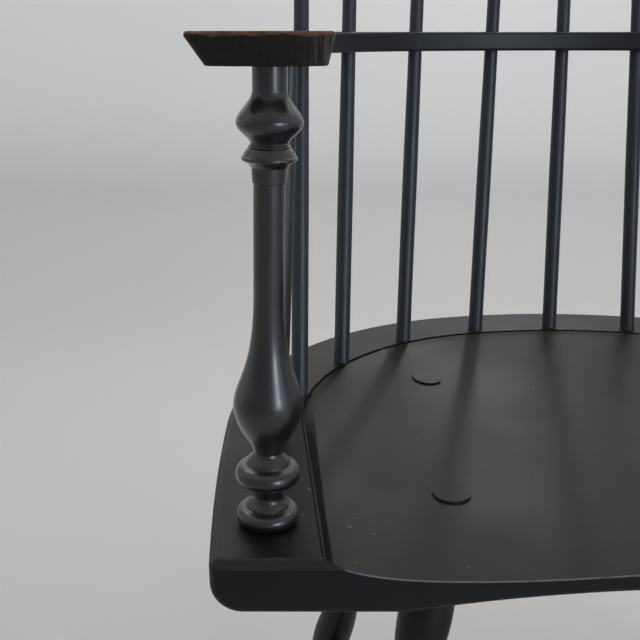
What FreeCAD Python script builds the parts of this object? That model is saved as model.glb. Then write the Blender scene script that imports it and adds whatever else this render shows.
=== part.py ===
import FreeCAD, Part

import math
import os

from FreeCAD import Vector

# Comb-back windsor armchair, painted wood, millimetres, Z up, floor at Z = 0.
# The chair faces -Y. Right and left are the sitter's, so right is at -X.
# Each piece is built on the -X side or on the centre plane, and mirrored.
# The plan's zero point is the centre that the back's spindles fan round.

# Seat plank
seat_height = 440.0
seat_width = 576.0
seat_front_width = 559.0
seat_front = 165.0
seat_back = 280.0
seat_thick = 33.5
seat_side_radius = 2080.0
seat_corner_radius = 250.0
seat_back_radius = 395.0
deck_bevel = 4.5
front_bevel_back = 4.7
front_bevel_corner = 5.0
front_bevel_gutter = 1.5
under_round = 18.0
front_under_round = 6.0

# Saddle carved into the plank
gutter_inset = 56.0
gutter_front_width = 434.0
gutter_radius = 1.6
dish_depth = 14.0
dish_front_depth = 12.0
dish_edge_power = 9.5
dish_back_power = 3.5
dish_change_y = -60.0
dish_change_length = 45.0
pommel_rise = 7.0
pommel_width = 78.0
pommel_length = 90.0
front_edge_round = 0.9
front_arch_radius = 1050.0
front_arch_rise = 16.0
front_arch_slope = 14.0

# Arm rail with hands
arm_height = 269.0
arm_thick = 16.0
arm_width = 28.0
arm_inset = 48.5
arm_back = 269.0
arm_back_radius = 330.0
arm_corner_radius = 170.0
arm_edge_round = 2.5
arm_bed = 4.0
hand_front = 147.0
hand_inset = 39.0
hand_width = 74.0
hand_length = 105.0
hand_neck = 60.0
hand_corner = 7.0
hand_bow = 4.0
hand_bevel_out = 10.5
hand_bevel_in = 4.0
hand_bevel_front = 6.0
hand_top_round = 1.8
hand_foot_round = 1.2

# Crest rail
crest_top = 1098.0
crest_height = 76.0
crest_end_height = 44.0
crest_thick = 18.0
crest_back = 318.0
crest_radius = 330.0
crest_inset = 26.0
crest_ear = 15.0
crest_lean = 5.0
crest_grip = 26.0

# Spindles: the angles run from the centre spindle to the last at the side
fan_seat = (0.0, 17.6, 36.0, 54.8, 74.2)
fan_crest = (0.0, 9.8, 22.7, 35.1, 44.7)
spindle_side_inset = 46.0
spindle_back_inset = 44.0
spindle_corner_radius = 218.0
spindle_back_radius = 330.0
spindle_base_radius = 6.5
spindle_arm_radius = 5.85
spindle_crest_radius = 4.9
spindle_taper_height = 150.0
spindle_bed = 22.0
short_inset = 38.0
short_base_back = 8.0
short_arm_back = 24.0

# Arm post
post_back = -121.5
post_inset = 32.8
post_lean_in = 6.0
post_tenon_radius = 7.5
post_bed = 26.0
post_ring_radius = 18.4
post_vase_radius = 19.4
post_shaft_radius = 8.3
post_urn_radius = 17.0

# Legs
leg_tenon_radius = 11.6
leg_taper = 1.0
plug_proud = 1.4
front_leg_x = 136.0
front_leg_y = -69.0
back_leg_x = 130.0
back_leg_y = 124.5
front_splay = 11.3
front_rake = 11.3
back_splay = 14.0
back_rake = 13.0
leg_vase_radius = 17.5
leg_ring_radius = 16.5
leg_bulb_radius = 18.6
leg_foot_radius = 10.5

# Stretchers
stretcher_height = 122.0
stretcher_tenon_radius = 7.0
stretcher_swell_radius = 15.0
stretcher_grip = 12.0

# Wedges and pins
wedge_thick = 2.6
wedge_long = 24.0
pin_radius = 2.0

# Clearance of every tenon in its hole and of every wedge, glue included
glue_gap = 0.15
wedge_gap = 0.04

deck_z = seat_height
under_z = seat_height - seat_thick
arch_top = under_z + front_arch_rise
arm_half_span = seat_width / 2 - arm_inset
hand_centre = seat_width / 2 - hand_inset
crest_half_span = seat_width / 2 - crest_inset
long_per_side = len(fan_seat) - 1
arm_top = deck_z + arm_height
arm_under = arm_top - arm_thick
up = Vector(0, 0, 1)


def mirrored(shape):
    return shape.mirror(Vector(0, 0, 0), Vector(1, 0, 0))


def line(a, b):
    return Part.LineSegment(a, b).toShape()


def arc(a, m, b):
    return Part.Arc(a, m, b).toShape()


def aimed(shape, start, end):
    """Stands a piece that was turned on Z from start towards end."""
    turn = FreeCAD.Rotation(up, end.sub(start))
    moved = shape.copy()
    moved.Placement = FreeCAD.Placement(start, turn)
    return moved


def turned(steps, grow=0.0):
    """Revolves a profile given as runs of (height, radius).

    A run is a tuple of kind and points: line goes straight to its point,
    arc passes its first point on the way to its second, and curve is one
    smooth line through all of them."""
    z0, r0 = steps[0][1][0]
    last = Vector(r0 + grow, 0, z0)
    edges = [line(Vector(0, 0, z0), last)]
    for kind, points in steps[1:]:
        path = [Vector(r + grow, 0, z) for z, r in points]
        if kind == "line":
            edges.append(line(last, path[0]))
        elif kind == "arc":
            edges.append(arc(last, path[0], path[1]))
        else:
            curve = Part.BSplineCurve()
            curve.interpolate([last] + path)
            edges.append(curve.toShape())
        last = path[-1]
    edges.append(line(last, Vector(0, 0, last.z)))
    edges.append(line(Vector(0, 0, last.z), Vector(0, 0, z0)))
    face = Part.Face(Part.Wire(edges))
    return face.revolve(Vector(0, 0, 0), up, 360)


# Plan outlines. Each is a back arc, two corner arcs tangent to it and two
# sides that run forward, tangent to the corner arcs. A side with no radius
# is straight.
class Plan:
    def __init__(
        self, half, back, corner_radius, back_radius, front_half, front, side_radius=0.0
    ):
        self.rc = corner_radius
        self.rb = back_radius
        self.cx = half - corner_radius
        self.by = back - back_radius
        reach = back_radius - corner_radius
        self.cy = self.by + math.sqrt(reach ** 2 - self.cx ** 2)
        self.turn = math.asin(self.cx / reach)
        self.front = front
        self.front_half = front_half
        self.side_radius = side_radius
        # Tangent point of the side that starts at the front corner
        dx = front_half - self.cx
        dy = -front - self.cy
        far = math.hypot(dx, dy)
        aim = math.atan2(dy, dx)
        if side_radius > 0:
            near = side_radius - corner_radius
            bend = (near ** 2 + far ** 2 - side_radius ** 2) / (2 * near * far)
            out = aim - math.acos(bend)
            self.sx = self.cx + near * math.cos(out)
            self.sy = self.cy + near * math.sin(out)
            self.side = math.atan2(self.cy - self.sy, self.cx - self.sx)
        else:
            self.side = aim + math.acos(corner_radius / far)

    def on_corner(self, angle, sign=-1):
        x = self.cx + self.rc * math.cos(angle)
        y = self.cy + self.rc * math.sin(angle)
        return Vector(sign * x, y, 0)

    def side_at(self, y):
        """Half width of the plan at y, on its side or its corner."""
        end = self.on_corner(self.side, 1)
        if y >= end.y:
            return self.cx + math.sqrt(self.rc ** 2 - (y - self.cy) ** 2)
        if self.side_radius > 0:
            return self.sx + math.sqrt(self.side_radius ** 2 - (y - self.sy) ** 2)
        share = (y + self.front) / (end.y + self.front)
        return self.front_half + (end.x - self.front_half) * share

    def path(self, z):
        """Open path from the front end at -X round the back to +X."""
        lift = Vector(0, 0, z)
        join = math.pi / 2 - self.turn
        middle = (self.side + join) / 2
        along = (self.on_corner(self.side).y - self.front) / 2
        points = {}
        for sign in (-1, 1):
            points[sign] = [
                Vector(sign * self.front_half, -self.front, z),
                self.on_corner(self.side, sign) + lift,
                self.on_corner(middle, sign) + lift,
                self.on_corner(join, sign) + lift,
            ]
        top = Vector(0, self.by + self.rb, z)
        a = points[-1]
        b = points[1]
        if self.side_radius > 0:
            half = self.side_at(along)
            first = arc(a[0], Vector(-half, along, z), a[1])
            last = arc(b[1], Vector(half, along, z), b[0])
        else:
            first = line(a[0], a[1])
            last = line(b[1], b[0])
        return [
            first,
            arc(a[1], a[2], a[3]),
            arc(a[3], top, b[3]),
            arc(b[3], b[2], b[1]),
            last,
        ]

    def ray(self, degrees):
        """Point of the path in the direction degrees from the back, at -X."""
        t = math.radians(degrees)
        dx = math.sin(t)
        dy = math.cos(t)
        x, y = self.cross(dx, dy, self.cx, self.cy, self.rc)
        if math.atan2(x - self.cx, y - self.cy) < self.turn:
            x, y = self.cross(dx, dy, 0.0, self.by, self.rb)
        return Vector(-x, y, 0)

    def cross(self, dx, dy, cx, cy, radius):
        along = dx * cx + dy * cy
        root = math.sqrt(radius ** 2 - cx ** 2 - cy ** 2 + along ** 2)
        return (dx * (along + root), dy * (along + root))


def inset_plan(inset, front_half, side_radius=0.0):
    return Plan(
        seat_width / 2 - inset,
        seat_back - inset,
        seat_corner_radius - inset,
        seat_back_radius - inset,
        front_half,
        seat_front,
        side_radius,
    )


seat_plan = inset_plan(0.0, seat_front_width / 2, seat_side_radius)
gutter_plan = inset_plan(gutter_inset, gutter_front_width / 2)
spindle_half = seat_width / 2 - spindle_side_inset
spindle_plan = Plan(
    spindle_half,
    seat_back - spindle_back_inset,
    spindle_corner_radius,
    spindle_back_radius,
    spindle_half,
    seat_front,
)
arm_plan = Plan(
    arm_half_span, arm_back, arm_corner_radius, arm_back_radius, arm_half_span, 5.0
)


# Saddle: how far the carved surface lies below the deck at (x, y)
def dish(x, y):
    front = -seat_front
    back_z = seat_back - gutter_inset
    centre = gutter_plan.cy
    half = seat_width / 2 - gutter_inset
    if y < centre:
        share = (centre - y) / (centre - front)
        half = half + (gutter_front_width / 2 - half) * share
        q = abs(x) / half
    else:
        n = 2.2
        depth = back_z - centre
        q = ((abs(x) / half) ** n + ((y - centre) / depth) ** n) ** (1 / n)
    blend = 1 / (1 + math.exp((dish_change_y - y) / dish_change_length))
    deep = dish_front_depth + (dish_depth - dish_front_depth) * blend
    power = dish_edge_power + (dish_back_power - dish_edge_power) * blend
    pommel = pommel_rise * math.exp(-(x / pommel_width) ** 2)
    pommel = pommel * math.exp(-((y - front) / pommel_length) ** 2)
    return deep * (1 - min(q, 1.25) ** power) - pommel


def saddle_tool(lift):
    """Everything above the carved surface, inside the gutter."""
    half = seat_width / 2
    nx = 25
    ny = 22
    low = -seat_front - 20.0
    high = seat_back
    rows = []
    for i in range(nx):
        x = -half + 2 * half * i / (nx - 1)
        row = []
        for j in range(ny):
            y = low + (high - low) * j / (ny - 1)
            row.append(Vector(x, y, deck_z - dish(x, y)))
        rows.append(row)
    surface = Part.BSplineSurface()
    surface.interpolate(rows)
    block = surface.toShape().extrude(Vector(0, 0, 60))
    edges = gutter_plan.path(deck_z - 30.0)
    ahead = Vector(0, -20.0, 0)
    near = Vector(-gutter_front_width / 2, -seat_front, deck_z - 30.0)
    far = Vector(gutter_front_width / 2, -seat_front, deck_z - 30.0)
    edges.append(line(far, far + ahead))
    edges.append(line(far + ahead, near + ahead))
    edges.append(line(near + ahead, near))
    outline = Part.Face(Part.Wire(Part.__sortEdges__(edges)))
    tool = outline.extrude(Vector(0, 0, 50)).common(block)
    tool.translate(Vector(0, 0, lift))
    return tool


def make_plank():
    edges = seat_plan.path(under_z)
    near = Vector(-seat_front_width / 2, -seat_front, under_z)
    far = Vector(seat_front_width / 2, -seat_front, under_z)
    edges.append(line(far, near))
    outline = Part.Face(Part.Wire(Part.__sortEdges__(edges)))
    plank = outline.extrude(Vector(0, 0, seat_thick))
    bottom = []
    for edge in plank.Edges:
        box = edge.BoundBox
        if box.ZMax < under_z + 0.01 and box.YMax > -seat_front + 0.01:
            bottom.append(edge)
    plank = plank.makeFillet(under_round, bottom)
    plank = plank.cut(front_arch())
    front = []
    for edge in plank.Edges:
        box = edge.BoundBox
        if box.YMax < -seat_front + 0.01 and box.ZMax < under_z + under_round + 0.1:
            front.append(edge)
    plank = plank.makeFillet(front_under_round, front)
    top = []
    for edge in plank.Edges:
        box = edge.BoundBox
        if box.ZMin > deck_z - 0.01 and box.YMax > -seat_front + 0.01:
            top.append(edge)
    plank = plank.makeChamfer(deck_bevel, top)
    bevel = front_bevel()
    return plank.cut([bevel, mirrored(bevel)])


def front_bevel():
    """Wedge along the deck's front edge, shallower towards the gutter."""
    sections = []
    for x, depth in (
        (-seat_front_width / 2 - 3.0, front_bevel_corner),
        (-gutter_front_width / 2 + 2.0, front_bevel_gutter),
    ):
        back = Vector(x, -seat_front + front_bevel_back, deck_z)
        low = Vector(x, -seat_front, deck_z - depth)
        step = (back - low) * 0.5
        a = back + step
        b = low - step
        c = Vector(x, b.y, a.z)
        sections.append(Part.makePolygon([a, b, c, a]))
    return Part.makeLoft(sections, True, True)


def front_arch():
    """Cutter that thins the front edge from below, most at the centre."""
    slope = math.radians(front_arch_slope)
    along = Vector(0, math.cos(slope), -math.sin(slope))
    drop = under_z + front_arch_rise - front_arch_radius / math.cos(slope)
    ahead = front_arch_radius * math.tan(slope) + seat_thick
    start = Vector(0, -seat_front, drop) - along * ahead
    reach = ahead + seat_front + seat_back
    return Part.makeCylinder(front_arch_radius, reach, start, along, 360)


def round_front_edge(plank):
    """Eases the worn arris where the saddle runs out of the front face."""
    rim = []
    for edge in plank.Edges:
        box = edge.BoundBox
        flat = box.YMax < -seat_front + 0.01
        if flat and box.ZMin > arch_top and box.XLength > pommel_width:
            rim.append(edge)
    return plank.makeFillet(front_edge_round, rim)


def gutter_cutter():
    wire = Part.Wire(Part.__sortEdges__(gutter_plan.path(deck_z)))
    first = wire.Edges[0]
    tangent = first.tangentAt(first.FirstParameter)
    begin = first.valueAt(first.FirstParameter)
    ring = Part.makeCircle(gutter_radius, begin, tangent)
    return wire.makePipeShell([Part.Wire(ring)], True, False)


# Places on the -X side
def side_point(plan, y, inset):
    """Point inset from the side of a plan at y."""
    return Vector(-plan.side_at(y) + inset, y, 0)


lift_deck = Vector(0, 0, deck_z)
post_foot = side_point(seat_plan, post_back, post_inset) + lift_deck
post_head = post_foot + Vector(post_lean_in, 0, arm_height)

crest_mid = Vector(0, crest_back, crest_top - crest_height / 2)
crest_turn = FreeCAD.Placement(
    Vector(0, 0, 0), FreeCAD.Rotation(Vector(1, 0, 0), -crest_lean), crest_mid
)


def crest_point(degrees, height):
    """Middle of the crest's thickness at an angle round its own centre."""
    t = math.radians(degrees)
    x = -crest_radius * math.sin(t)
    y = crest_back - crest_radius * (1 - math.cos(t))
    z = crest_top - crest_height + height
    return crest_turn.multVec(Vector(x, y, z))


def spindle_ends(index):
    base = spindle_plan.ray(fan_seat[index]) + lift_deck
    return base, crest_point(fan_crest[index], crest_grip)


def long_spindle(index, grow=0.0):
    base, top = spindle_ends(index)
    aim = (top - base).normalize()
    low = base - aim * (spindle_bed / aim.z + grow)
    bed = spindle_bed / aim.z + grow
    arm = bed + (arm_height - arm_thick / 2) / aim.z
    full = (top - low).Length + grow
    grip = full - crest_grip - 2.0
    steps = [
        ("start", [(0, spindle_base_radius)]),
        ("line", [(bed + spindle_taper_height, spindle_base_radius)]),
        ("line", [(arm, spindle_arm_radius)]),
        ("line", [(grip, spindle_crest_radius)]),
        ("line", [(full, spindle_crest_radius)]),
    ]
    return aimed(turned(steps, grow), low, top)


def short_spindle(grow=0.0):
    base = side_point(seat_plan, short_base_back, short_inset) + lift_deck
    head = Vector(-arm_half_span, short_arm_back, arm_top - arm_bed)
    aim = (head - base).normalize()
    bed = spindle_bed / aim.z + grow
    low = base - aim * bed
    full = (head - low).Length + grow
    steps = [
        ("start", [(0, spindle_base_radius)]),
        ("line", [(bed + spindle_taper_height, spindle_base_radius)]),
        ("line", [(full - arm_thick, spindle_arm_radius)]),
        ("line", [(full, spindle_arm_radius)]),
    ]
    return aimed(turned(steps, grow), low, head)


def post(grow=0.0):
    """Turned arm post: two rings, long vase, shaft, flared ring and urn."""
    ring = post_ring_radius
    vase = post_vase_radius
    shaft = post_shaft_radius
    urn = post_urn_radius
    tenon = post_tenon_radius
    aim = post_head - post_foot
    high = aim.Length
    lean = aim.x / high
    sole = 15.0
    low = 0.2 + sole * lean
    neck = high - arm_thick - 0.2 - 8.9 * lean
    steps = [
        ("start", [(-post_bed, tenon)]),
        ("line", [(low, tenon)]),
        ("line", [(low, sole)]),
        ("arc", [(4.2, ring - 0.5), (10.3, 13.2)]),
        ("line", [(10.6, 12.4)]),
        ("line", [(11.7, 12.3)]),
        ("curve", [(13.4, 10.9), (15.4, 9.4), (17.6, 9.0), (21.4, 10.4), (25.2, 13.8)]),
        ("arc", [(30.3, ring), (37.0, 13.0)]),
        ("line", [(37.3, 12.4)]),
        ("line", [(38.5, 12.2)]),
        ("curve", [(40.9, 10.5), (43.2, 8.6), (44.6, 8.1)]),
        (
            "curve",
            [
                (48.0, 9.2),
                (55.5, 13.6),
                (63.2, vase - 2.0),
                (73.0, vase),
                (87.2, vase - 3.6),
                (102.0, shaft + 3.0),
                (116.7, shaft + 0.8),
                (130.0, shaft),
            ],
        ),
        ("line", [(high - 73.8, shaft)]),
        ("line", [(high - 73.4, shaft + 0.6)]),
        ("line", [(high - 66.0, shaft + 1.0)]),
        ("curve", [(high - 64.2, 10.9), (high - 62.6, 13.4)]),
        ("arc", [(high - 61.4, 14.4), (high - 60.2, 13.8)]),
        ("curve", [(high - 58.0, 12.6), (high - 56.2, 11.3)]),
        ("line", [(high - 55.9, 10.7)]),
        ("line", [(high - 55.5, 10.9)]),
        ("line", [(high - 54.9, 10.6)]),
        ("line", [(high - 54.6, 10.0)]),
        ("line", [(high - 54.2, 10.1)]),
        ("line", [(high - 53.5, 9.7)]),
        (
            "curve",
            [
                (high - 50.0, 12.7),
                (high - 46.8, 15.9),
                (high - 43.6, urn + 0.1),
                (high - 40.4, urn - 0.8),
                (high - 36.4, 13.5),
                (high - 31.6, 9.9),
                (high - 28.4, 8.9),
            ],
        ),
        ("line", [(neck, 8.9)]),
        ("line", [(neck, tenon)]),
        ("line", [(high - 0.3, tenon)]),
    ]
    if grow > 0:
        steps = [
            ("start", [(-post_bed - grow, tenon)]),
            ("line", [(high + 5.0, tenon)]),
        ]
    return aimed(turned(steps, grow), post_foot, post_head)


# Legs run down from the deck; their heights below are measured from there
def leg_axis(x, y, splay, rake):
    plug = Vector(-x, y, deck_z - dish(x, y))
    fall = Vector(
        -math.tan(math.radians(splay)), math.tan(math.radians(rake)), -1
    )
    top = plug - fall * (deck_z + 6.0 - plug.z)
    foot = plug + fall * plug.z
    return top, foot


front_leg = leg_axis(front_leg_x, front_leg_y, front_splay, -front_rake)
back_leg = leg_axis(back_leg_x, back_leg_y, back_splay, back_rake)


def leg_point(ends, height):
    top, foot = ends
    share = (height - foot.z) / (top.z - foot.z)
    return foot + (top - foot) * share


def leg(ends):
    top, foot = ends
    high = (top - foot).Length
    steep = (top.z - foot.z) / high
    seat = high - (top.z - under_z) / steep
    bulb = stretcher_height / steep
    vase = leg_vase_radius
    ring = leg_ring_radius
    swell = leg_bulb_radius
    sole = leg_foot_radius
    neck = leg_tenon_radius + leg_taper
    steps = [
        ("start", [(-12.0, sole)]),
        ("line", [(2.0, sole)]),
        (
            "curve",
            [
                (18.0, sole + 2.2),
                (36.0, sole + 2.6),
                (54.0, sole + 0.6),
                (bulb - 40.0, swell - 4.4),
                (bulb, swell),
                (bulb + 36.0, swell - 2.4),
                (bulb + 82.0, 11.0),
                (bulb + 100.0, 10.2),
            ],
        ),
        ("arc", [(bulb + 106.5, ring), (bulb + 113.0, 13.0)]),
        ("line", [(bulb + 114.2, 12.0)]),
        ("curve", [(bulb + 118.0, 9.8), (bulb + 122.5, 11.6)]),
        ("arc", [(bulb + 131.0, ring), (bulb + 139.0, 12.4)]),
        ("line", [(bulb + 140.4, 11.2)]),
        (
            "curve",
            [
                (bulb + 147.0, 9.6),
                (seat - 98.0, 13.2),
                (seat - 64.0, vase),
                (seat - 30.0, vase - 2.0),
                (seat - 4.0, neck + 0.4),
            ],
        ),
        ("line", [(seat, neck)]),
        ("line", [(high, leg_tenon_radius)]),
    ]
    return aimed(turned(steps), foot, top)


def leg_hole(ends):
    top, foot = ends
    high = (top - foot).Length
    steep = (top.z - foot.z) / high
    seat = high - (top.z - under_z) / steep
    slope = leg_taper / (high - seat)
    neck = leg_tenon_radius + leg_taper
    steps = [
        ("start", [(seat - 20.0, neck + slope * 20.0)]),
        ("line", [(high + 10.0, leg_tenon_radius - slope * 10.0)]),
    ]
    return aimed(turned(steps, glue_gap), foot, top)


def wedge(ends, length, reach, grow=0.0):
    """Thin tapered wedge across the head of a tenon, at right angles to X."""
    top, foot = ends
    half = wedge_thick / 2 + grow
    tip = half * 0.25 + grow
    low = -length - grow
    corners = [
        Vector(-tip, -reach, low),
        Vector(tip, -reach, low),
        Vector(half, -reach, 0),
        Vector(-half, -reach, 0),
    ]
    edges = []
    for i in range(4):
        edges.append(line(corners[i], corners[(i + 1) % 4]))
    face = Part.Face(Part.Wire(edges))
    block = face.extrude(Vector(0, 2 * reach, 0))
    return aimed(block, top, top + (top - foot))


def stretcher(a, b, ring_places, grow=0.0):
    """Swelled stretcher between two leg or stretcher axes at a and b."""
    full = (b - a).Length
    inner = full - 2 * stretcher_grip
    tenon = stretcher_tenon_radius
    swell = stretcher_swell_radius
    if grow > 0:
        steps = [
            ("start", [(-grow, tenon)]),
            ("line", [(inner + grow, tenon)]),
        ]
    else:
        steps = [("start", [(0, tenon)]), ("line", [(30.0, tenon)])]
        middle = inner / 2
        steps.append(
            (
                "curve",
                [
                    (30.0 + (middle - 30.0) * 0.55, tenon + 4.0),
                    (middle - ring_places, swell - 2.0),
                ],
            )
        )
        steps.append(("arc", [(middle, swell), (middle + ring_places, swell - 2.0)]))
        steps.append(
            (
                "curve",
                [
                    (inner - 30.0 - (middle - 30.0) * 0.55, tenon + 4.0),
                    (inner - 30.0, tenon),
                ],
            )
        )
        steps.append(("line", [(inner, tenon)]))
    aim = (b - a).normalize()
    start = a + aim * stretcher_grip
    return aimed(turned(steps, grow), start, b)


def rail_band():
    """Bent rail: a rounded bar swept round the arm plan."""
    z = arm_top - arm_thick / 2
    wire = Part.Wire(Part.__sortEdges__(arm_plan.path(z)))
    first = wire.Edges[0]
    begin = first.valueAt(first.FirstParameter)
    w = arm_width / 2
    t = arm_thick / 2
    r = arm_edge_round
    k = r * (1 - math.sqrt(0.5))
    edges = []
    for sx, sz in ((1, 1), (-1, 1), (-1, -1), (1, -1)):
        a = begin + Vector(sx * w, 0, sz * (t - r))
        m = begin + Vector(sx * (w - k), 0, sz * (t - k))
        b = begin + Vector(sx * (w - r), 0, sz * t)
        edges.append(arc(a, m, b))
        c = Vector(-b.x + 2 * begin.x, b.y, b.z)
        d = Vector(a.x, a.y, -a.z + 2 * begin.z)
        edges.append(line(b, c) if sx * sz > 0 else line(a, d))
    section = Part.Wire(Part.__sortEdges__(edges))
    return wire.makePipeShell([section], True, False)


def hand_outline(z, out, inner, front):
    """Closed plan outline of a hand; the three insets make its bevels."""
    left = -hand_centre - hand_width / 2 + out
    right = -hand_centre + hand_width / 2 - inner
    tip = -hand_front + front
    r = hand_corner
    bow = hand_bow
    end = -hand_front + hand_length + hand_neck
    k = r * (1 - math.sqrt(0.5))
    shoulder = -hand_front + hand_length * 0.45
    p1 = Vector(left, tip + bow + r, z)
    p2 = Vector(left + r, tip + bow, z)
    p3 = Vector(right - r, tip + bow, z)
    p4 = Vector(right, tip + bow + r, z)
    p5 = Vector(-arm_half_span + arm_width / 2, end, z)
    p6 = Vector(-arm_half_span - arm_width / 2, end, z)
    back = Vector(0, 1, 0)
    inside = Part.BSplineCurve()
    inside.interpolate(
        Points=[p4, Vector((p4.x + p5.x) / 2 + 2.5, shoulder + 40.0, z), p5],
        InitialTangent=back,
        FinalTangent=back,
    )
    outside = Part.BSplineCurve()
    outside.interpolate(
        Points=[
            p6,
            Vector((p6.x * 0.7 + left * 0.3), end - hand_neck * 0.75, z),
            Vector(left - 1.0, shoulder, z),
            p1,
        ],
        InitialTangent=back * -1,
        FinalTangent=back * -1,
    )
    return Part.Wire(
        [
            arc(p1, Vector(left + k, tip + bow + k, z), p2),
            arc(p2, Vector((left + right) / 2, tip, z), p3),
            arc(p3, Vector(right - k, tip + bow + k, z), p4),
            inside.toShape(),
            line(p5, p6),
            outside.toShape(),
        ]
    )


def hand():
    low = hand_outline(arm_under, hand_bevel_out, hand_bevel_in, hand_bevel_front)
    high = hand_outline(arm_top, 0.0, 0.0, 0.0)
    block = Part.makeLoft([low, high], True, True)
    end = -hand_front + hand_length + hand_neck - 0.01
    for z, radius in ((arm_top, hand_top_round), (arm_under, hand_foot_round)):
        rim = []
        for edge in block.Edges:
            box = edge.BoundBox
            if abs(box.Center.z - z) < 0.01 and box.ZLength < 0.01 and box.YMin < end:
                rim.append(edge)
        block = block.makeFillet(radius, rim)
    return block


def crest():
    """Bent crest: a curved board with an arched top, leaned back."""
    half_turn = math.asin((crest_half_span + crest_thick) / crest_radius)
    centre = crest_back - crest_radius
    low = crest_top - crest_height
    edges = []
    rims = []
    for radius in (crest_radius - crest_thick / 2, crest_radius + crest_thick / 2):
        x = radius * math.sin(half_turn)
        y = centre + radius * math.cos(half_turn)
        a = Vector(-x, y, low)
        b = Vector(x, y, low)
        edges.append(arc(a, Vector(0, centre + radius, low), b))
        rims.append((a, b))
    edges.append(line(rims[0][0], rims[1][0]))
    edges.append(line(rims[0][1], rims[1][1]))
    board = Part.Face(Part.Wire(Part.__sortEdges__(edges)))
    board = board.extrude(Vector(0, 0, crest_height))
    # Front view: straight foot, round ears, arched top
    x = crest_half_span
    tall = low + crest_end_height
    front = -crest_back
    left_low = Vector(-x + crest_ear, front, low)
    right_low = Vector(x - crest_ear, front, low)
    left_top = Vector(-x + crest_ear, front, tall)
    right_top = Vector(x - crest_ear, front, tall)
    left_ear = Vector(-x, front, (low + tall) / 2)
    right_ear = Vector(x, front, (low + tall) / 2)
    outline = [
        line(left_low, right_low),
        arc(right_low, right_ear, right_top),
        arc(right_top, Vector(0, front, crest_top), left_top),
        arc(left_top, left_ear, left_low),
    ]
    face = Part.Face(Part.Wire(outline))
    board = board.common(face.extrude(Vector(0, 3 * crest_back, 0)))
    board.Placement = crest_turn.multiply(board.Placement)
    return board


def crest_pin(index, grow=0.0):
    """Small dowel through the crest and the head of a spindle."""
    t = math.radians(fan_crest[index])
    outward = Vector(-math.sin(t), math.cos(t), 0)
    outward = crest_turn.Rotation.multVec(outward)
    middle = crest_point(fan_crest[index], crest_grip * 0.5)
    reach = crest_thick / 2 + grow
    start = middle - outward * reach
    return Part.makeCylinder(pin_radius + grow, 2 * reach, start, outward)


def solid(shape):
    """The one solid of a cut or joined shape, without split faces."""
    whole = shape.removeSplitter()
    return whole.Solids[0] if len(whole.Solids) == 1 else whole


# Joinery: every mortise is the piece that fits it, grown by the clearance
plank = make_plank()
plank = plank.cut(saddle_tool(0.0))
plank = round_front_edge(plank)
plank = plank.cut(gutter_cutter())
proud = saddle_tool(plug_proud)

rail = rail_band()
hands = hand()
rail = rail.fuse([hands, mirrored(hands)])
head = crest()

spindles = {}
holes = []
for i in range(-long_per_side, long_per_side + 1):
    spindle = long_spindle(abs(i))
    hole = long_spindle(abs(i), glue_gap)
    if i > 0:
        spindle = mirrored(spindle)
        hole = mirrored(hole)
    spindles[i] = spindle
    holes.append(hole)

sides = {"right": lambda shape: shape, "left": mirrored}
parts = {}
for side, place in sides.items():
    holes.append(place(short_spindle(glue_gap)))
    parts["short_spindle_" + side] = place(short_spindle())

post_holes = []
for side, place in sides.items():
    post_holes.append(place(post(glue_gap)))

leg_holes = []
for ends in (front_leg, back_leg):
    hole = leg_hole(ends)
    leg_holes.append(hole)
    leg_holes.append(mirrored(hole))

parts["seat"] = solid(plank.cut(holes + post_holes + leg_holes))
parts["arm_rail"] = solid(rail.cut(holes + post_holes))

# Pins through the crest at its two ends and its centre
for i in (-long_per_side, 0, long_per_side):
    pin = crest_pin(abs(i))
    cutter = crest_pin(abs(i), glue_gap)
    if i > 0:
        pin = mirrored(pin)
        cutter = mirrored(cutter)
    spindles[i] = spindles[i].cut(cutter)
    head = head.cut(cutter)
    name = {-1: "right", 0: "centre", 1: "left"}[(i > 0) - (i < 0)]
    parts["crest_pin_" + name] = pin
parts["crest_rail"] = solid(head.cut(holes))
for number, i in enumerate(sorted(spindles), start=1):
    parts["long_spindle_%d" % number] = solid(spindles[i])

# Posts with a wedge in the tenon at the top of each hand
post_reach = post_tenon_radius * 0.999
post_ends = (post_head - Vector(0, 0, 0.3), post_foot)
post_wedge = wedge(post_ends, arm_thick * 0.8, post_reach)
post_slot = wedge(post_ends, arm_thick * 0.8, post_tenon_radius + 3, wedge_gap)
turned_post = solid(post().cut(post_slot))
post_bore = post(glue_gap)
post_wedge = solid(post_wedge.common(post()))
for side, place in sides.items():
    parts["arm_post_" + side] = place(turned_post)
    parts["arm_wedge_" + side] = place(post_wedge)

# Stretchers: one along each side, one across between their middles
front_at = leg_point(front_leg, stretcher_height)
back_at = leg_point(back_leg, stretcher_height)
mid_at = (front_at + back_at) * 0.5
mid_far = Vector(-mid_at.x, mid_at.y, mid_at.z)
side_bar = stretcher(front_at, back_at, 9.0)
side_bore = stretcher(front_at, back_at, 9.0, glue_gap)
cross_bar = stretcher(mid_at, mid_far, 12.0)
cross_bore = stretcher(mid_at, mid_far, 12.0, glue_gap)
side_bar = solid(side_bar.cut(cross_bore))
for side, place in sides.items():
    parts["stretcher_side_" + side] = place(side_bar)
parts["stretcher_cross"] = cross_bar

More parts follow.
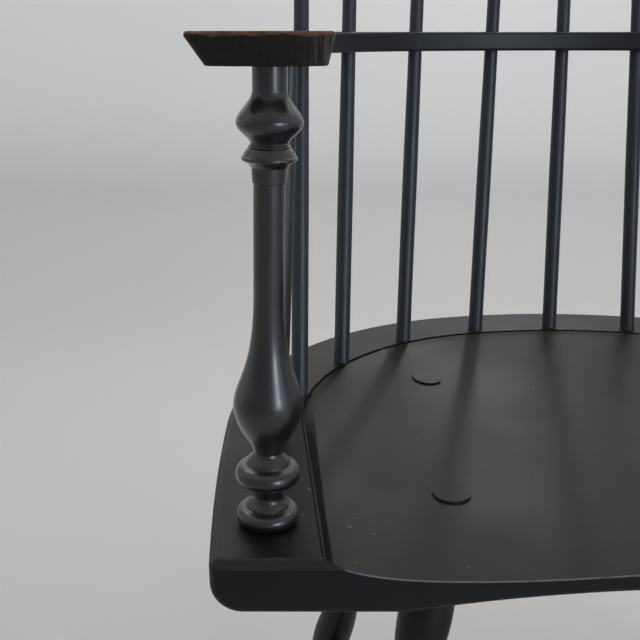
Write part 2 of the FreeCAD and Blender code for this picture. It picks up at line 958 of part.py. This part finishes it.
# Legs: wedged tenons, trimmed just proud of the saddle, feet cut level
reach = seat_width
below = Vector(-reach, -reach, -seat_thick)
floor_cut = Part.makeBox(2 * reach, 2 * reach, seat_thick, below)
for name, ends in (("front", front_leg), ("back", back_leg)):
    trim = proud.copy()
    surface = deck_z - dish(ends[0].x, ends[0].y) + plug_proud
    head_ends = (leg_point(ends, surface + 3.5), ends[1])
    shaft = leg(ends).cut(trim).cut(floor_cut).cut(side_bore)
    reach = leg_tenon_radius
    blade = wedge(head_ends, wedge_long, reach * 2)
    slot = wedge(head_ends, wedge_long, reach * 2, wedge_gap)
    wedge_piece = solid(blade.common(leg(ends)).cut(trim))
    shaft = solid(shaft.cut(slot))
    for side, place in sides.items():
        parts["leg_%s_%s" % (name, side)] = place(shaft)
        parts["leg_wedge_%s_%s" % (name, side)] = place(wedge_piece)

# The origin is the middle of the whole chair's footprint, on the floor
box = FreeCAD.BoundBox()
for shape in parts.values():
    box.add(shape.optimalBoundingBox(False, False))
shift = Vector(0, -(box.YMin + box.YMax) / 2, 0)

os.makedirs("parts", exist_ok=True)
for name in sorted(parts):
    shape = parts[name]
    shape.translate(shift)
    shape.exportStep("parts/%s.step" % name)
print("pieces", len(parts), "shift %.3f" % shift.y)
print("size %.1f %.1f %.1f" % (box.XLength, box.YLength, box.ZLength))
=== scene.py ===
import math
import bpy
import numpy as np
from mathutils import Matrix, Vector


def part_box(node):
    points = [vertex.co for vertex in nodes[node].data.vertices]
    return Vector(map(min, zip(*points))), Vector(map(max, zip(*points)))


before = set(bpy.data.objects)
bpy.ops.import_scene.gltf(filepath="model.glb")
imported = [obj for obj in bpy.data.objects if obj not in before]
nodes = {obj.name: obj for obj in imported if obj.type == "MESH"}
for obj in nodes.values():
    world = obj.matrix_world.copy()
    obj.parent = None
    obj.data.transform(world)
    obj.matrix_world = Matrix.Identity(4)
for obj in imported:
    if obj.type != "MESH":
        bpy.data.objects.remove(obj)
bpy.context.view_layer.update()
print("frame loaded:", len(nodes), "nodes")


class Wire:
    # an output socket that adds, multiplies and compares as a number does
    def __init__(self, bench, socket):
        self.bench = bench
        self.socket = socket

    def maths(self, operation, first, second=None):
        values = {0: first}
        if second is not None:
            values[1] = second
        return self.bench.make("ShaderNodeMath", {"operation": operation}, values)

    def __add__(self, other):
        return self.maths("ADD", self, other)

    def __radd__(self, other):
        return self.maths("ADD", other, self)

    def __sub__(self, other):
        return self.maths("SUBTRACT", self, other)

    def __rsub__(self, other):
        return self.maths("SUBTRACT", other, self)

    def __mul__(self, other):
        return self.maths("MULTIPLY", self, other)

    def __pow__(self, other):
        return self.maths("POWER", self, other)

    def __gt__(self, other):
        return self.maths("GREATER_THAN", self, other)

    def __lt__(self, other):
        return self.maths("LESS_THAN", self, other)

    def __abs__(self):
        return self.maths("ABSOLUTE", self)

    def most(self, other):
        return self.maths("MAXIMUM", self, other)

    def least(self, other):
        return self.maths("MINIMUM", self, other)

    def ramp(self, low, high, outLow=0.0, outHigh=1.0):
        # smooth step from low to high
        settings = {"interpolation_type": "SMOOTHSTEP"}
        values = {"Value": self, "From Min": low, "From Max": high,
                  "To Min": outLow, "To Max": outHigh}
        return self.bench.make("ShaderNodeMapRange", settings, values)

    def fade(self, low, high):
        # smooth step down: 1 under low, 0 over high
        return self.ramp(low, high, 1.0, 0.0)

    def within(self, rise, fall):
        # up over the first pair, down again over the second
        return self.ramp(*rise) * self.fade(*fall)


class Bench:
    # the nodes of one material, or of the room's light
    def __init__(self, owner, place="Object"):
        owner.use_nodes = True
        self.owner = owner
        self.tree = owner.node_tree
        self.tree.nodes.clear()
        self.here = self.make("ShaderNodeTexCoord", output=place)
        self.x, self.y, self.z = self.parts(self.here)

    def make(self, kind, settings=None, values=None, output=0):
        # any node: its settings first, then its sockets, as values or wires
        node = self.tree.nodes.new(kind)
        for key, value in (settings or {}).items():
            setattr(node, key, value)
        for key, value in (values or {}).items():
            self.feed(node.inputs[key], value)
        return None if output is None else Wire(self, node.outputs[output])

    def feed(self, socket, value):
        if isinstance(value, Wire):
            self.tree.links.new(value.socket, socket)
        elif isinstance(value, tuple) and socket.type == "RGBA":
            socket.default_value = (*value, 1.0)
        else:
            socket.default_value = value

    def parts(self, vector):
        first = self.make("ShaderNodeSeparateXYZ", {}, {0: vector})
        return [Wire(self, first.socket.node.outputs[axis]) for axis in "XYZ"]

    def facing(self):
        # the face's normal, along the object's own axes
        return self.parts(self.make("ShaderNodeTexCoord", output="Normal"))

    def noise(self, scale, detail=2.0, rough=0.5, stretch=(1.0, 1.0, 1.0), turn=0.0):
        # stretch under 1 draws the pattern out along that axis
        vector = self.make("ShaderNodeMapping", {}, {
            "Vector": self.here, "Rotation": (0.0, 0.0, turn), "Scale": stretch})
        return self.make("ShaderNodeTexNoise", {}, {
            "Vector": vector, "Scale": scale, "Detail": detail, "Roughness": rough})

    def swing(self, **noise):
        # a noise about zero
        return self.noise(**noise) - 0.5

    def patches(self, between, **noise):
        # a noise as a mask, which rises between two of its values
        return self.noise(**noise).ramp(*between)

    def specks(self, scale, size, share, flat=False):
        # a few cells of a Voronoi pattern hold one small ragged chip each
        kind = {"voronoi_dimensions": "2D" if flat else "3D"}
        values = {"Vector": self.here, "Scale": scale, "Randomness": 1.0}
        distance = self.make("ShaderNodeTexVoronoi", kind, values)
        cell = Wire(self, distance.socket.node.outputs["Color"])
        pick = self.make("ShaderNodeSeparateColor", {}, {0: cell})
        ragged = distance + self.swing(scale=900.0) * (size * 1.2)
        return (ragged < size) * (pick > 1.0 - share)

    def spot(self, centre, radius):
        # a round patch that fades out from about a third of its radius
        dx, dy, dz = self.x - centre[0], self.y - centre[1], self.z - centre[2]
        away = (dx * dx + dy * dy + dz * dz) ** 0.5
        return away.fade(radius * 0.35, radius)

    def blend(self, mask, first, second):
        node = self.tree.nodes.new("ShaderNodeMix")
        node.data_type = "RGBA"
        for index, value in ((0, mask), (6, first), (7, second)):
            self.feed(node.inputs[index], value)
        return Wire(self, node.outputs[2])

    def bumps(self, *layers):
        # layers are (height wire, depth in metres), one Bump node after another
        normal = None
        for height, depth in layers:
            values = {"Height": height, "Distance": depth, "Strength": 1.0}
            if normal is not None:
                values["Normal"] = normal
            normal = self.make("ShaderNodeBump", {}, values)
        return normal

    def finish(self, sockets):
        shader = self.make("ShaderNodeBsdfPrincipled", {}, sockets)
        self.make("ShaderNodeOutputMaterial", {}, {"Surface": shader}, None)
        return self.owner


def bench(name):
    return Bench(bpy.data.materials.new(name))


def satin(b, v):
    # soft clouds of rubbing, and a drawn-out grain where it shows in colour and gloss
    cloud = b.noise(**v["cloud"])
    grain = b.noise(**v["grain"])
    rubbing = cloud.ramp(*v["cloudRange"]) * v["cloudShare"]
    rough = v["gloss"] + cloud.ramp(*v["cloudGloss"])
    if "grainRange" in v:
        rubbing = rubbing + grain.ramp(*v["grainRange"]) * v["grainShare"]
        rough = rough + (grain - 0.5) * v["grainGloss"]
    colour = b.blend(rubbing, v["colour"], v["rubbed"])
    return cloud, grain, colour, rough


# the CAD says where the edges lie at which the paint wears
seatLow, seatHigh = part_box("seat")
railLow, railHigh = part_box("arm_rail")

# in all the paints: between and Range say where a noise rises into a mask, Share how
# much of it counts, Gloss what it adds to the roughness, Depth a bump in metres, Turn
# the Z of a face's normal, and Down metres below the piece's top

seatPaint = {
    "colour": (0.0060, 0.0060, 0.0064),
    "rubbed": (0.0115, 0.0115, 0.0117),
    # the pale stripe on the front arris: partly paint worn through, partly a painted
    # highlight
    "worn": (0.140, 0.142, 0.146),
    # the bevels' corners: partly rubbed wear, partly a painted edge highlight
    "edge": (0.034, 0.034, 0.036),
    # the outward bevels' colour: painted light, lighter because they face up
    "bevel": (0.0150, 0.0150, 0.0156),
    # the groove's colour: painted shade
    "paintedGrooveShade": (0.0025, 0.0024, 0.0022),
    "chip": (0.150, 0.140, 0.120),
    "gloss": 0.40,
    "shine": 0.22,
    "cloud": {"scale": 9.0, "detail": 3.0, "rough": 0.55},
    "cloudRange": (0.35, 0.75),
    "cloudShare": 0.5,
    "cloudGloss": (0.3, 0.8, -0.03, 0.07),
    "cloudDepth": 0.0006,
    "grain": {"scale": 300.0, "detail": 4.0, "rough": 0.6, "stretch": (0.035, 1.0, 1.0)},
    "grainRange": (0.45, 0.80),
    "grainShare": 0.30,
    "grainGloss": 0.06,
    "grainDepth": 0.00005,
    "fine": {"scale": 1500.0, "detail": 2.0, "rough": 0.6},
    "fineDepth": 0.000012,
    "saddleHalf": 0.217,
    "arrisTurn": ((0.12, 0.45), (0.86, 0.97)),
    "arrisBehind": (0.0012, 0.0020),
    "arrisIn": (0.008, 0.014),
    "arrisDown": (0.0145, 0.0160),
    "arrisBroken": {"between": (0.28, 0.52, 0.35, 1.0),
                    "scale": 110.0, "detail": 3.0, "rough": 0.7},
    "bevelTurn": ((0.45, 0.55), (0.88, 0.95)),
    "bevelDown": (0.0056, 0.0062),
    "upperDown": (0.0004, 0.0013),
    "lowerDown": ((0.0036, 0.0044), (0.0050, 0.0060)),
    "lowerShare": 0.6,
    "rimPatches": {"between": (0.36, 0.62), "scale": 160.0, "detail": 3.0, "rough": 0.7},
    "rimShare": 0.8,
    "middleY": -0.02,
    "outward": (0.01, 0.04),
    "grooveTurn": (0.965, 0.982),
    "grooveDown": ((0.0001, 0.0003), (0.0017, 0.0021)),
    "grooveGloss": 0.55,
    "wallTurn": (0.50, 0.60),
    "chipTurn": (0.3, 0.6),
    "dots": {"scale": 40.0, "size": 0.026, "share": 0.035, "flat": True},
    "chips": [(-0.2268, -0.1671, 0.0011), (-0.2293, -0.1982, 0.0009),
              (-0.2027, -0.2012, 0.0013), (-0.1888, -0.2037, 0.0009),
              (-0.1379, -0.2340, 0.0007), (-0.2190, -0.2425, 0.0006),
              (0.0610, -0.1320, 0.0010), (0.1480, -0.0460, 0.0012),
              (0.1120, -0.1900, 0.0008), (-0.0420, 0.0310, 0.0009)],
    "chipRagged": {"scale": 700.0, "detail": 3.0, "rough": 0.7},
    "chipShare": 0.75,
    "chipGloss": 0.25,
    "chipDepth": -0.0001,
    "scuffs": [(-0.2405, -0.2255, 0.0080), (-0.2353, -0.1709, 0.0060),
               (0.2300, -0.1500, 0.0070)],
    "scuffShare": 0.35,
    "threads": {"between": (0.55, 0.66), "scale": 520.0, "detail": 4.0, "rough": 0.75,
                "stretch": (0.45, 1.0, 1.0), "turn": 0.6},
    "mostBare": 0.85,
}


def paintSeat():
    v = seatPaint
    b = bench("seatPaint")
    deck = float(seatHigh[2])
    down = deck - b.z
    turnX, turnY, turnZ = b.facing()
    cloud, grain, colour, rough = satin(b, v)
    fine = b.noise(**v["fine"])
    # the arris where the saddle runs out of the front: its faces turn from -Y to +Z, and a
    # pale stripe along it is partly paint worn through and partly a painted highlight
    nearArris = ((b.y - float(seatLow[1])).fade(*v["arrisBehind"])
                 * (v["saddleHalf"] - abs(b.x)).ramp(*v["arrisIn"]))
    line = (nearArris * down.fade(*v["arrisDown"]) * turnZ.within(*v["arrisTurn"])
            * b.patches(**v["arrisBroken"]))
    # both corners of the deck's bevels, lighter in patches: partly rubbed wear, partly a
    # painted edge highlight
    slanted = turnZ.within(*v["bevelTurn"])
    corners = down.fade(*v["upperDown"]) + down.within(*v["lowerDown"]) * v["lowerShare"]
    rim = corners * slanted * (1.0 - nearArris) * b.patches(**v["rimPatches"])
    # the incised groove is dull and darkened with painted shade; the bevels at its height
    # face outwards and are painted lighter, a painted light
    outward = (b.x * turnX + (b.y - v["middleY"]) * turnY).ramp(*v["outward"])
    bevel = slanted * outward * down.fade(*v["bevelDown"])
    groove = (down.within(*v["grooveDown"]) * turnZ.fade(*v["grooveTurn"])
              * (1.0 - outward * turnZ.ramp(*v["wallTurn"])))
    # small chips down to the primer, and thread-like scuffs
    chips = b.specks(**v["dots"])
    for x, y, radius in v["chips"]:
        away = ((b.x - x) ** 2.0 + (b.y - y) ** 2.0) ** 0.5
        ragged = away + b.swing(**v["chipRagged"]) * (radius * 2.0)
        chips = chips + (ragged < radius)
    chips = chips * turnZ.ramp(*v["chipTurn"])
    spots = [b.spot((x, y, deck), radius) for x, y, radius in v["scuffs"]]
    scuff = sum(spots[1:], spots[0]) * b.patches(**v["threads"])
    bare = (chips * v["chipShare"] + scuff * v["scuffShare"]).least(v["mostBare"])
    # the outward bevels: painted light
    colour = b.blend(bevel, colour, v["bevel"])
    # bevels' corners: partly rubbed wear, partly a painted edge highlight
    colour = b.blend((rim * v["rimShare"]).least(1.0), colour, v["edge"])
    # the groove: painted shade
    colour = b.blend(groove, colour, v["paintedGrooveShade"])
    # pale arris stripe: partly wear, partly a painted highlight
    colour = b.blend(line, colour, v["worn"])
    colour = b.blend(bare, colour, v["chip"])
    normal = b.bumps((cloud, v["cloudDepth"]), (grain, v["grainDepth"]),
                     (fine, v["fineDepth"]), (chips, v["chipDepth"]))
    rough = rough + chips * v["chipGloss"] + groove * v["grooveGloss"]
    return b.finish({"Base Color": colour, "Roughness": rough, "Normal": normal,
                     "Specular IOR Level": v["shine"]})


# rings: height of a proud ring, the band's half width and how bare it is
turnedPaint = {
    "colour": (0.0048, 0.0048, 0.0054),
    "rubbed": (0.0105, 0.0105, 0.0108),
    "wood": (0.120, 0.058, 0.028),
    "dust": (0.075, 0.075, 0.072),
    "gloss": 0.40,
    "shine": 0.36,
    "varnish": 0.88,
    "varnishGloss": 0.21,
    "rings": [],
    "cloud": {"scale": 22.0, "detail": 3.0, "rough": 0.6},
    "cloudRange": (0.40, 0.75),
    "cloudShare": 0.6,
    "cloudGloss": (0.3, 0.8, -0.03, 0.08),
    "cloudDepth": 0.0004,
    "grain": {"scale": 900.0, "detail": 2.0, "rough": 0.5, "stretch": (0.04, 0.04, 1.0)},
    "grainRange": (0.50, 0.80),
    "grainShare": 0.2,
    "grainGloss": 0.08,
    "grainDepth": 0.00005,
    "fine": {"scale": 950.0, "detail": 2.0, "rough": 0.6},
    "fineDepth": 0.000013,
    "wear": {"scale": 150.0, "detail": 4.0, "rough": 0.75},
    "wearRange": (0.62, 0.72),
    "bareShift": 0.3,
    "wearShare": 0.85,
    "wearGloss": 0.15,
    "dots": {"scale": 130.0, "size": 0.075, "share": 0.10},
    "dotShare": 0.6,
    "dotGloss": 0.2,
}
postFoot = float(seatHigh[2])
postPaint = {
    **turnedPaint,
    "rings": [(postFoot + 0.2068, 0.0011, 0.35), (postFoot + 0.1945, 0.0009, 0.15)],
}
legPaint = {
    **turnedPaint,
    "rings": [(0.004, 0.005, 0.5)],
    "varnish": 0.05,
    "gloss": 0.43,
    "shine": 0.23,
}
stretcherPaint = {**turnedPaint, "varnish": 0.25}


def paintTurned(name, v):
    b = bench(name)
    cloud, lathe, colour, rough = satin(b, v)
    fine = b.noise(**v["fine"])
    for height, width, bare in v["rings"]:
        band = abs(b.z - height).fade(width * 0.4, width)
        between = [limit - bare * v["bareShift"] for limit in v["wearRange"]]
        worn = band * b.patches(between, **v["wear"])
        colour = b.blend(worn * v["wearShare"], colour, v["wood"])
        rough = rough + worn * v["wearGloss"]
    dots = b.specks(**v["dots"])
    colour = b.blend(dots * v["dotShare"], colour, v["dust"])
    rough = rough + dots * v["dotGloss"]
    normal = b.bumps((cloud, v["cloudDepth"]), (lathe, v["grainDepth"]),
                     (fine, v["fineDepth"]))
    return b.finish({"Base Color": colour, "Roughness": rough, "Normal": normal,
                     "Specular IOR Level": v["shine"], "Coat Weight": v["varnish"],
                     "Coat Roughness": v["varnishGloss"]})


spindlePaint = {
    "colour": (0.0205, 0.0255, 0.0320),
    "rubbed": (0.0310, 0.0370, 0.0450),
    "dust": (0.075, 0.075, 0.072),
    "gloss": 0.42,
    "shine": 0.50,
    "cloud": {"scale": 14.0, "detail": 3.0, "rough": 0.6},
    "cloudRange": (0.40, 0.80),
    "cloudShare": 0.6,
    "cloudGloss": (0.3, 0.8, -0.03, 0.06),
    "cloudDepth": 0.0004,
    "grain": {"scale": 420.0, "detail": 3.0, "rough": 0.6, "stretch": (1.0, 1.0, 0.05)},
    "grainRange": (0.50, 0.80),
    "grainShare": 0.3,
    "grainGloss": 0.10,
    "grainDepth": 0.00008,
    "dots": {"scale": 110.0, "size": 0.07, "share": 0.05},
    "dotShare": 0.4,
}


def paintSpindles():
    v = spindlePaint
    b = bench("spindlePaint")
    cloud, along, colour, rough = satin(b, v)
    colour = b.blend(b.specks(**v["dots"]) * v["dotShare"], colour, v["dust"])
    normal = b.bumps((along, v["grainDepth"]), (cloud, v["cloudDepth"]))
    return b.finish({"Base Color": colour, "Roughness": rough, "Normal": normal,
                     "Specular IOR Level": v["shine"]})


railPaint = {
    "colour": (0.0105, 0.0118, 0.0150),
    "rubbed": (0.0180, 0.0190, 0.0215),
    # the hands' dull black, tinted brownish: a painted reflection of a brown floor
    "floorReflectionTint": (0.0160, 0.0138, 0.0122),
    "floorReflectionTintDark": (0.0105, 0.0096, 0.0090),
    # the hands' inner end: partly wear down to a dull brown, partly a painted highlight on
    # the inner side face
    "scrapedAndPaintedLight": (0.0780, 0.0690, 0.0630),
    "wood": (0.250, 0.088, 0.034),
    "woodDark": (0.060, 0.032, 0.020),
    "gloss": 0.42,
    "shine": 0.12,
    "varnish": 0.38,
    "cloud": {"scale": 16.0, "detail": 3.0, "rough": 0.6},
    "cloudRange": (0.40, 0.80),
    "cloudShare": 0.6,
    "cloudGloss": (0.3, 0.8, -0.03, 0.07),
    "grain": {"scale": 500.0, "detail": 4.0, "rough": 0.65, "stretch": (0.12, 0.12, 1.0)},
    "grainDepth": 0.00006,
    "fine": {"scale": 1400.0, "detail": 3.0, "rough": 0.65},
    "fineDepth": 0.00002,
    "pores": {"scale": 420.0, "detail": 5.0, "rough": 0.75, "stretch": (1.0, 1.0, 0.35)},
    "poresRange": (0.38, 0.60),
    "poresGloss": 0.22,
    "poresDepth": 0.00020,
    # the hands: metres behind their front, and across from their centre line
    "handBehind": (0.09, 0.15),
    "handCentre": 0.249,
    "handHalf": 0.037,
    "bareDown": (0.0010, 0.0020),
    "wander": {"scale": 34.0, "detail": 4.0, "rough": 0.7},
    "wanderDown": 0.0060,
    "bareSide": (0.003, 0.012),
    "bareBehind": (0.004, 0.020),
    "broad": {"scale": 30.0, "detail": 5.0, "rough": 0.7},
    "broadShare": 1.5,
    "stripRange": (0.45, 0.75),
    "bareGloss": 0.08,
    "bareDepth": -0.00015,
    "woodPatches": {"between": (0.35, 0.68), "scale": 60.0, "detail": 5.0, "rough": 0.75,
                    "stretch": (1.0, 0.25, 1.0)},
    "inward": (0.10, 0.17),
    "scrapedSide": (0.003, 0.019, 0.9, 0.0),
    "scrapedBehind": (0.03, 0.06),
    "streaks": {"between": (0.38, 0.64), "scale": 620.0, "detail": 3.0, "rough": 0.6,
                "stretch": (1.0, 0.10, 0.05)},
    "rimDown": (0.0006, 0.0016),
    "rimPatches": {"between": (0.56, 0.70), "scale": 70.0, "detail": 4.0, "rough": 0.75},
    "rimShare": 0.35,
    "underUp": (0.0004, 0.0014),
    "underPatches": {"between": (0.5, 0.7), "scale": 150.0, "detail": 3.0, "rough": 0.7},
    "underShare": 0.4,
}


def paintRail():
    v = railPaint
    b = bench("railPaint")
    behind = b.y - float(railLow[1])
    down = float(railHigh[2]) - b.z
    turnX = b.facing()[0]
    _, grain, colour, rough = satin(b, v)
    fine = b.noise(**v["fine"])
    pores = b.noise(**v["pores"])
    # the hands are rubbed: bare wood along the top rim, dull black below with a brownish
    # tint, a painted reflection of a brown floor
    hand = behind.fade(*v["handBehind"])
    dull = b.blend(pores.ramp(*v["poresRange"]), v["floorReflectionTintDark"], v["floorReflectionTint"])
    colour = b.blend(hand, colour, dull)
    wander = b.swing(**v["wander"]) * v["wanderDown"]
    rim = (down - wander).fade(*v["bareDown"])
    # on the top face only a strip along the outline is bare
    inFromSide = v["handHalf"] - abs(abs(b.x) - v["handCentre"])
    edge = inFromSide.fade(*v["bareSide"]).most(behind.fade(*v["bareBehind"]))
    strip = (edge + b.swing(**v["broad"]) * v["broadShare"]).ramp(*v["stripRange"])
    bare = hand * rim * strip
    wood = b.blend(b.patches(**v["woodPatches"]), v["woodDark"], v["wood"])
    colour = b.blend(bare, colour, wood)
    # the hand's inner end is lighter in upright streaks: partly wear that scrapes it down
    # to a dull brown, partly a painted highlight on the inner side face
    fromInner = abs(b.x) - (v["handCentre"] - v["handHalf"])
    inner = (turnX * (0.0 - b.x)).ramp(*v["inward"])
    inner = inner.most(fromInner.ramp(*v["scrapedSide"])) * behind.fade(*v["scrapedBehind"])
    scrapedAndPaintedLight = hand * inner * b.patches(**v["streaks"]) * (1.0 - bare)
    colour = b.blend(scrapedAndPaintedLight, colour, v["scrapedAndPaintedLight"])
    # thin rubbed lines along the rims of the bent rail and under the hand
    rims = abs(down).fade(*v["rimDown"]) * b.patches(**v["rimPatches"])
    colour = b.blend(rims * v["rimShare"] * (1.0 - hand), colour, v["woodDark"])
    up = abs(b.z - float(railLow[2]))
    under = up.fade(*v["underUp"]) * b.patches(**v["underPatches"])
    colour = b.blend(under * hand * v["underShare"], colour, v["woodDark"])
    rough = rough + hand * pores * v["poresGloss"] + bare * v["bareGloss"]
    normal = b.bumps((grain, v["grainDepth"]), (pores, v["poresDepth"]),
                     (fine, v["fineDepth"]), (bare, v["bareDepth"]))
    # the hands have lost the varnish
    return b.finish({"Base Color": colour, "Roughness": rough, "Normal": normal,
                     "Specular IOR Level": v["shine"], "Coat Roughness": v["gloss"],
                     "Coat Weight": (1.0 - hand) * v["varnish"]})


crestPaint = {
    "colour": (0.0068, 0.0070, 0.0080),
    "rubbed": (0.0140, 0.0138, 0.0135),
    "wood": (0.090, 0.043, 0.022),
    "gloss": 0.38,
    "shine": 0.42,
    "cloud": {"scale": 13.0, "detail": 3.0, "rough": 0.6},
    "cloudRange": (0.35, 0.80),
    "cloudShare": 0.6,
    "cloudGloss": (0.3, 0.8, -0.03, 0.08),
    "cloudDepth": 0.0006,
    "grain": {"scale": 380.0, "detail": 4.0, "rough": 0.6, "stretch": (0.06, 0.06, 1.0)},
    "grainRange": (0.50, 0.80),
    "grainShare": 0.25,
    "grainGloss": 0.08,
    "grainDepth": 0.00007,
    "fine": {"scale": 1400.0, "detail": 2.0, "rough": 0.6},
    "fineDepth": 0.000012,
    "wear": {"between": (0.70, 0.76), "scale": 48.0, "detail": 5.0, "rough": 0.8},
    "wearShare": 0.6,
    "wearGloss": 0.1,
}


def paintCrest():
    v = crestPaint
    b = bench("crestPaint")
    cloud, grain, colour, rough = satin(b, v)
    fine = b.noise(**v["fine"])
    # rubbed through in small places
    worn = b.patches(**v["wear"])
    colour = b.blend(worn * v["wearShare"], colour, v["wood"])
    rough = rough + worn * v["wearGloss"]
    normal = b.bumps((cloud, v["cloudDepth"]), (grain, v["grainDepth"]),
                     (fine, v["fineDepth"]))
    return b.finish({"Base Color": colour, "Roughness": rough, "Normal": normal,
                     "Specular IOR Level": v["shine"]})


# the first name that a node's name starts with says how it is painted
paints = {
    "seat": paintSeat(),
    "arm_rail": paintRail(),
    "crest": paintCrest(),
    "long_spindle": paintSpindles(),
    "arm_post": paintTurned("postPaint", postPaint),
    "leg": paintTurned("legPaint", legPaint),
    "stretcher": paintTurned("stretcherPaint", stretcherPaint),
}
paints["short_spindle"] = paints["long_spindle"]
paints["arm_wedge"] = paints["arm_rail"]


def paintFor(name):
    return next(paint for start, paint in paints.items() if name.startswith(start))


for name, obj in nodes.items():
    for slot in obj.material_slots:
        slot.material = paintFor(name)
print("painted", len(nodes), "pieces")


room = {
    "floor": (0.54, 0.525, 0.505),
    "wall": (0.80, 0.79, 0.78),
    "wallFrom": (0.05, 0.60),
    "dull": 0.9,
    "wallDistance": 1.46,
    "bend": 0.35,
    "bendSteps": 24,
    "halfWidth": 4.0,
    "front": -3.5,
    "height": 3.2,
}


def paintStage():
    # plain pale paper; from behind the wall lets the view through
    b = bench("stagePaper")
    colour = b.blend(b.z.ramp(*room["wallFrom"]), room["floor"], room["wall"])
    sockets = {"Base Color": colour, "Roughness": room["dull"]}
    paper = b.make("ShaderNodeBsdfPrincipled", {}, sockets)
    clear = b.make("ShaderNodeBsdfTransparent")
    behind = b.make("ShaderNodeNewGeometry", output="Backfacing")
    surface = b.make("ShaderNodeMixShader", {}, {0: behind, 1: paper, 2: clear})
    b.make("ShaderNodeOutputMaterial", {}, {"Surface": surface}, None)
    return b.owner


def sweepStage():
    # profile carried along X: flat floor, quarter circle, upright wall
    bend = room["bend"]
    wall = room["wallDistance"]
    angle = np.linspace(0, math.pi / 2, room["bendSteps"])
    y = np.concatenate(([room["front"]], wall - bend + bend * np.sin(angle), [wall]))
    z = np.concatenate(([0.0], bend - bend * np.cos(angle), [room["height"]]))
    x = np.array([-room["halfWidth"], room["halfWidth"]])
    gridX, gridY = np.meshgrid(x, y, indexing="ij")
    gridZ = np.broadcast_to(z, gridX.shape)
    points = np.stack((gridX, gridY, gridZ), axis=-1).reshape(-1, 3)
    count = len(y)
    low = np.arange(count - 1)
    faces = np.stack((low, low + count, low + count + 1, low + 1), axis=1)
    mesh = bpy.data.meshes.new("stageFloor")
    mesh.from_pydata(points.tolist(), [], faces.tolist())
    mesh.polygons.foreach_set("use_smooth", [True] * len(mesh.polygons))
    stage = bpy.data.objects.new("stageFloor", mesh)
    bpy.context.collection.objects.link(stage)
    stage.data.materials.append(paintStage())


sweepStage()
print("stage done")


lamps = [
    {"name": "window", "at": (1.50, -2.15, 0.95), "aim": (-0.25, -0.2, 0.55),
     "size": (2.20, 1.50), "power": 12.0, "colour": (0.70, 0.83, 1.0)},
    {"name": "windowGap", "at": (1.32, -2.25, 0.92), "aim": (-0.25, -0.2, 0.58),
     "size": (0.60, 0.80), "power": 14.0, "colour": (0.80, 0.88, 1.0)},
    {"name": "backWindow", "at": (0.19, 1.28, 1.25), "aim": (-0.12, 0.02, 0.44),
     "size": (0.07, 0.50), "power": 0.72, "colour": (0.95, 0.97, 1.0)},
    {"name": "ceiling", "at": (0.0, 0.8, 2.6), "aim": (0.0, 0.9, 0.0),
     "size": (3.0, 1.2), "power": 5.0, "colour": (1.0, 1.0, 1.0)},
    {"name": "wallWash", "at": (0.0, 0.95, 2.1), "aim": (0.0, 1.46, 0.9),
     "size": (3.4, 0.5), "power": 22.0, "colour": (1.0, 1.0, 1.0)},
]


def addLamp(lamp):
    light = bpy.data.lights.new(lamp["name"], "AREA")
    light.shape = "RECTANGLE"
    light.size, light.size_y = lamp["size"]
    light.energy = lamp["power"]
    light.color = lamp["colour"]
    obj = bpy.data.objects.new(lamp["name"], light)
    obj.location = lamp["at"]
    obj.visible_camera = False
    aim = Vector(lamp["aim"]) - Vector(lamp["at"])
    obj.rotation_euler = aim.to_track_quat("-Z", "Y").to_euler()
    bpy.context.collection.objects.link(obj)


for lamp in lamps:
    addLamp(lamp)

air = {
    "colour": (0.95, 0.975, 1.0),
    "front": 0.28,  # the side that the camera stands on is the darker one
    "back": 0.65,
    "between": (-0.6, 0.5),
    "upShare": 0.8,
}


def lightRoom():
    world = bpy.data.worlds.new("roomLight")
    bpy.context.scene.world = world
    b = Bench(world, "Generated")
    toBack = b.y + b.z * air["upShare"]
    around = toBack.ramp(*air["between"], air["front"], air["back"])
    sockets = {"Color": air["colour"], "Strength": around}
    sky = b.make("ShaderNodeBackground", {}, sockets)
    b.make("ShaderNodeOutputWorld", {}, {"Surface": sky}, None)


lightRoom()

view = {
    "at": (-0.220, -0.65756, 0.708),
    "pitchDown": 17.89,
    "lens": 50.0,
    "sensor": 36.0,
    "nearest": 0.01,
}
camera = bpy.data.cameras.new("photoCamera")
camera.lens = view["lens"]
camera.sensor_width = view["sensor"]
camera.clip_start = view["nearest"]
cameraObject = bpy.data.objects.new("photoCamera", camera)
cameraObject.location = view["at"]
cameraObject.rotation_euler = (math.radians(90 - view["pitchDown"]), 0, 0)
bpy.context.collection.objects.link(cameraObject)
bpy.context.scene.camera = cameraObject
bpy.context.scene.view_settings.view_transform = "Standard"
print("lamps and camera done")
